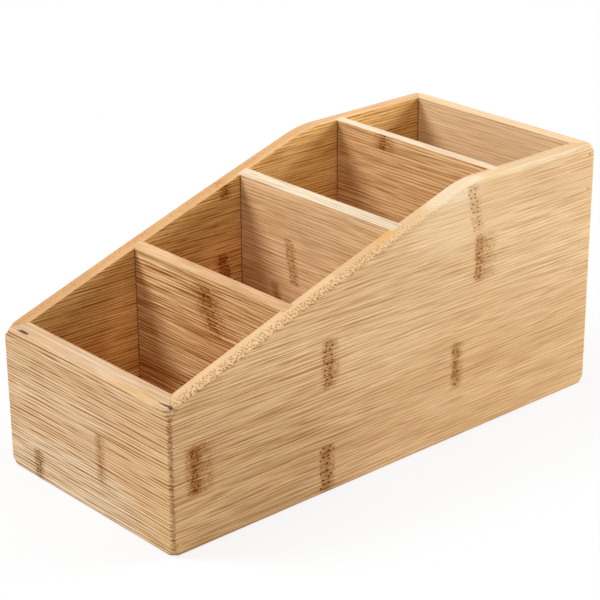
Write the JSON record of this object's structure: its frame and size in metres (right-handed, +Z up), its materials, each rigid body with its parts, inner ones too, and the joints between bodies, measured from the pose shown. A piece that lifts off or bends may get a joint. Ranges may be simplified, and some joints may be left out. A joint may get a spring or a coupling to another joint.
{
  "type": "sloped desk organizer",
  "caption": "Open-topped bamboo desk organizer with a sloped top, mitred corners, and three dividers across it that make a row of four compartments.",
  "frame": {"origin": "middle of the footprint, on the surface that the organizer stands on", "axes": "+X across the width to the right as seen from the low front, +Y from the low front to the high back, +Z up"},
  "size_m": [0.11, 0.24, 0.115],
  "materials": {
    "bamboo_boards": "sanded natural bamboo with a thin matt lacquer",
    "bamboo_dividers": "sanded natural bamboo, a little darker than the boards",
    "bamboo_base": "sanded natural bamboo",
    "steel_brads": "dull bright wire, bared by sanding",
    "dried_glue": "dried wood glue, wiped along the inner corners"
  },
  "bodies": {
    "root": {"front_panel": "bamboo_boards", "back_panel": "bamboo_boards", "left_side": "bamboo_boards", "right_side": "bamboo_boards", "front_divider": "bamboo_dividers", "middle_divider": "bamboo_dividers", "rear_divider": "bamboo_dividers", "base_board": "bamboo_base", "brads_front_left": "steel_brads", "brads_front_right": "steel_brads", "brads_back_left": "steel_brads", "brads_back_right": "steel_brads"}
  },
  "joints": []
}
